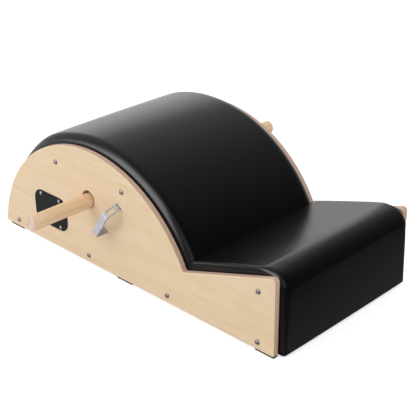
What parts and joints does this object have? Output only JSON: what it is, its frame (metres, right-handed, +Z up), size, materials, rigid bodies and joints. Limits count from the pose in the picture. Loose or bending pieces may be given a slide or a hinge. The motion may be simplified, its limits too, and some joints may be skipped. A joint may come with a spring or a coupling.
{
  "type": "pilates spine corrector",
  "caption": "Padded barrel and wedge seat on a wooden box with arched side panels, cross rails, strap brackets and a loose through pole.",
  "frame": {"origin": "middle of the bounding box on the floor, under the feet, half way between the two side panels", "axes": "+X from the barrel end to the seat end, +Y from the plate side to the other side, +Z up"},
  "size_m": [0.9366, 0.763, 0.3149],
  "materials": {
    "beech_ply": "clear satin lacquer over pale ply, darker edge",
    "bare_ply": "bare sanded ply",
    "pine": "planed softwood",
    "dowel_wood": "satin lacquered dowel, paler end grain",
    "black_vinyl": "soft black upholstery vinyl, satin",
    "grey_foam": "upholstery foam, hidden",
    "steel": "plated steel",
    "satin_aluminium": "satin",
    "black_plate": "bare matte black plate",
    "foot_rubber": "matt dark rubber"
  },
  "bodies": {
    "frame": {"barrel_deck": "bare_ply", "seat_deck": "bare_ply", "front_board": "bare_ply", "barrel_foam": "grey_foam", "seat_foam": "grey_foam", "barrel_cover": "black_vinyl", "seat_cover": "black_vinyl", "end_rail": "pine", "middle_rail": "pine", "notch_rail": "pine", "front_rail": "pine", "nose_rail": "pine", "left_arc_rail": "pine", "right_arc_rail": "pine", "near_side_panel": "beech_ply", "near_strap_bracket": "satin_aluminium", "near_end_rail_screw": "steel", "near_middle_rail_screw": "steel", "near_notch_rail_screw": "steel", "near_front_rail_screw": "steel", "near_nose_rail_screw": "steel", "near_left_arc_rail_screw": "steel", "near_right_arc_rail_screw": "steel", "near_heel_foot": "foot_rubber", "near_middle_foot": "foot_rubber", "near_toe_foot": "foot_rubber", "far_side_panel": "beech_ply", "far_strap_bracket": "satin_aluminium", "far_end_rail_screw": "steel", "far_middle_rail_screw": "steel", "far_notch_rail_screw": "steel", "far_front_rail_screw": "steel", "far_nose_rail_screw": "steel", "far_left_arc_rail_screw": "steel", "far_right_arc_rail_screw": "steel", "far_heel_foot": "foot_rubber", "far_middle_foot": "foot_rubber", "far_toe_foot": "foot_rubber", "name_plate": "black_plate", "plate_screw_1": "steel", "plate_screw_2": "steel", "plate_screw_3": "steel", "plate_screw_4": "steel"},
    "pole": {"pole": "dowel_wood"}
  },
  "joints": [
    {"name": "pole_pull_out", "type": "slide", "parent": "frame", "child": "pole", "axis": [0, 1, 0], "range_m": [-0.61, 0.61]}
  ]
}
